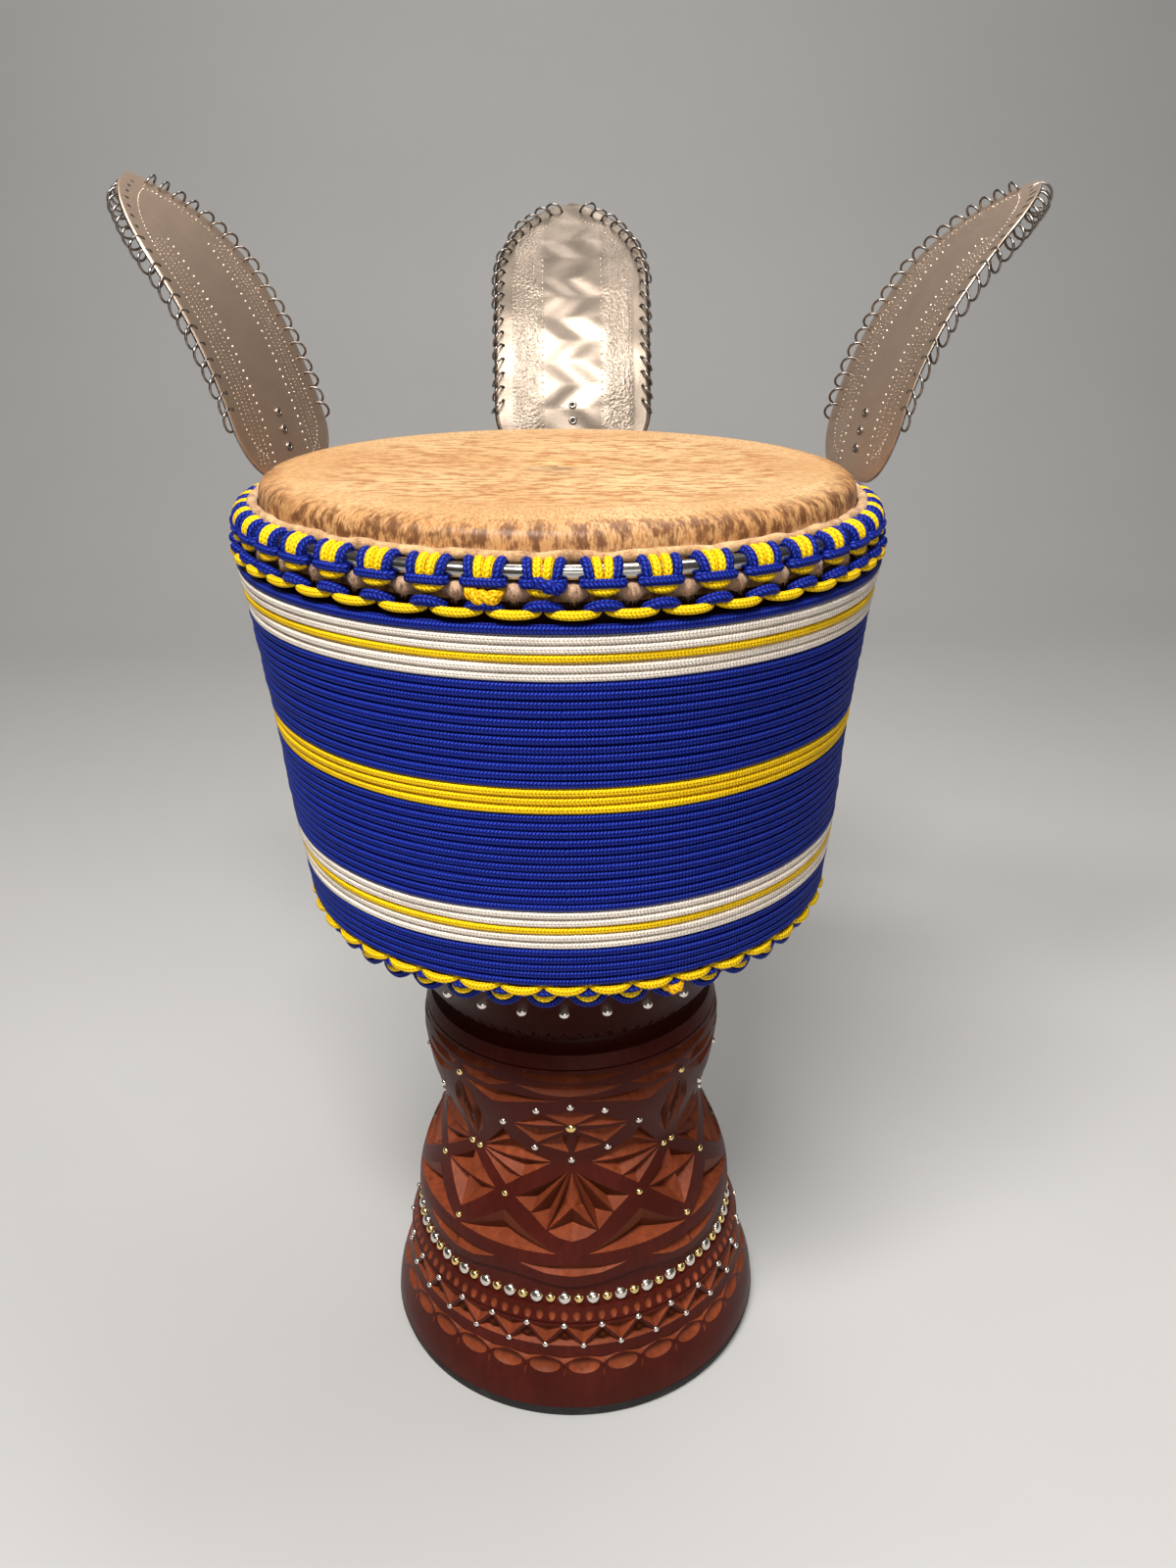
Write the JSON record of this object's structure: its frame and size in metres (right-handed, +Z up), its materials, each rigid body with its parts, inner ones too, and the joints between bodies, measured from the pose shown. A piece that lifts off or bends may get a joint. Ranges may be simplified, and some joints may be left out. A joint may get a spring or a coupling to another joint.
{
  "type": "djembe goblet drum",
  "caption": "Goblet-shaped djembe hand drum: carved dark wooden shell, hide head, steel crown ring, wound blue, yellow and white cord, and leaf-shaped metal rattle plates.",
  "frame": {"origin": "on the floor under the middle of the whole object's box, 12.5 mm to the right of and 62.5 mm behind the drum's own axis", "axes": "+Z up along the drum's axis, -Y towards the front, between the two side rattle plates"},
  "size_m": [0.5627, 0.5019, 0.7641],
  "materials": {
    "lacquered_wood": "dark red-brown lacquer, lighter in the cuts",
    "black_rubber": "matt",
    "goat_hide": "shaved, satin, streaked",
    "hide_fur": "short hair left on",
    "bright_steel": "bright",
    "tin_plate": "worn sheet metal",
    "blue_cord": "braided",
    "yellow_cord": "braided",
    "white_cord": "braided",
    "brass_nails": "polished"
  },
  "bodies": {
    "root": {"wooden_shell": "lacquered_wood", "rubber_foot_ring": "black_rubber", "goat_skin": "goat_hide", "skin_hem": "goat_hide", "crown_ring": "bright_steel", "flesh_ring": "hide_fur", "crown_loops": "blue_cord", "dash_cord_upper": "yellow_cord", "ring_cord_upper": "blue_cord", "wrap_1_white": "white_cord", "wrap_2_yellow": "yellow_cord", "wrap_3_white": "white_cord", "wrap_4_blue": "blue_cord", "wrap_5_yellow": "yellow_cord", "wrap_6_blue": "blue_cord", "wrap_7_white": "white_cord", "wrap_8_yellow": "yellow_cord", "wrap_9_white": "white_cord", "wrap_10_blue": "blue_cord", "dash_cord_lower": "yellow_cord", "ring_cord_lower": "blue_cord", "rattle_plate_left": "tin_plate", "plate_tongue_left": "bright_steel", "rivet_left_1": "bright_steel", "rivet_left_2": "bright_steel", "rivet_left_3": "bright_steel", "rattle_plate_right": "tin_plate", "plate_tongue_right": "bright_steel", "rivet_right_1": "bright_steel", "rivet_right_2": "bright_steel", "rivet_right_3": "bright_steel", "rattle_plate_back": "tin_plate", "plate_tongue_back": "bright_steel", "rivet_back_1": "bright_steel", "rivet_back_2": "bright_steel", "rivet_back_3": "bright_steel"}
  },
  "joints": []
}
